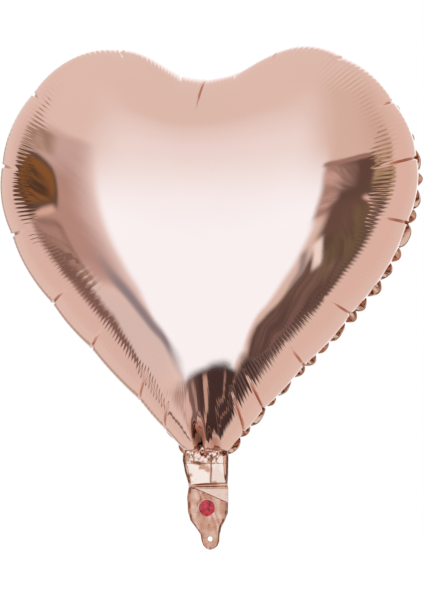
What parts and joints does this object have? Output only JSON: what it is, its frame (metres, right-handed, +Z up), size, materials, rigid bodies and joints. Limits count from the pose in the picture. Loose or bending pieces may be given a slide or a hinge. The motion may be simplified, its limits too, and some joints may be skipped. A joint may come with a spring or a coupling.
{
  "type": "heart foil balloon",
  "caption": "Inflated heart-shaped foil balloon with a welded margin, flap valve and a hanging filling tail with port and ribbon hole.",
  "frame": {"origin": "tie point at the throat, where the bottom of the heart meets the filling tail", "axes": "+Z up through the heart, -Y out of the front panel, X across the two lobes"},
  "size_m": [0.375, 0.1826, 0.445],
  "materials": {
    "rose_foil": "mirror-bright rose-gold metallised film",
    "foil_weld": "heat-sealed, puckered metallised film",
    "valve_film": "clear to milky polyethylene film",
    "red_ink": "glossy crimson print"
  },
  "bodies": {
    "envelope": {"front_panel": "rose_foil", "rear_panel": "rose_foil", "seam_margin": "foil_weld"},
    "valve_front": {"valve_front_lip": "valve_film"},
    "valve_rear": {"valve_rear_lip": "valve_film"},
    "neck": {"neck_welds": "foil_weld", "neck_front_ply": "rose_foil", "neck_valve_front": "valve_film", "neck_valve_rear": "valve_film", "neck_rear_ply": "rose_foil"},
    "tail": {"tail_welds": "foil_weld", "tail_front_ply": "rose_foil", "tail_valve_front": "valve_film", "tail_valve_rear": "valve_film", "tail_rear_ply": "rose_foil", "fill_mark": "red_ink"},
    "tab": {"tab_front_ply": "rose_foil", "tab_rear_ply": "rose_foil"}
  },
  "joints": [
    {"name": "valve_front_open", "type": "hinge", "parent": "envelope", "child": "valve_front", "pos_m": [0, -0.00025, 0.002], "axis": [1, 0, 0], "range_deg": [0, 8], "stiffness_Nm_per_rad": 0.0005},
    {"name": "valve_rear_open", "type": "hinge", "parent": "envelope", "child": "valve_rear", "pos_m": [0, 0.00025, 0.002], "axis": [1, 0, 0], "range_deg": [-8, 0], "stiffness_Nm_per_rad": 0.0005},
    {"name": "neck_fold", "type": "hinge", "parent": "envelope", "child": "neck", "pos_m": [0, 0, -0.0011], "axis": [1, 0, 0], "range_deg": [-60, 60]},
    {"name": "tail_fold", "type": "hinge", "parent": "neck", "child": "tail", "pos_m": [0, 0, -0.029], "axis": [1, 0, 0], "range_deg": [-60, 60]},
    {"name": "tab_fold", "type": "hinge", "parent": "tail", "child": "tab", "pos_m": [0, 0, -0.067], "axis": [1, 0, 0], "range_deg": [-60, 60]}
  ],
  "couplings": [
    {"joint": "valve_rear_open", "follows": "valve_front_open", "ratio": -1}
  ]
}
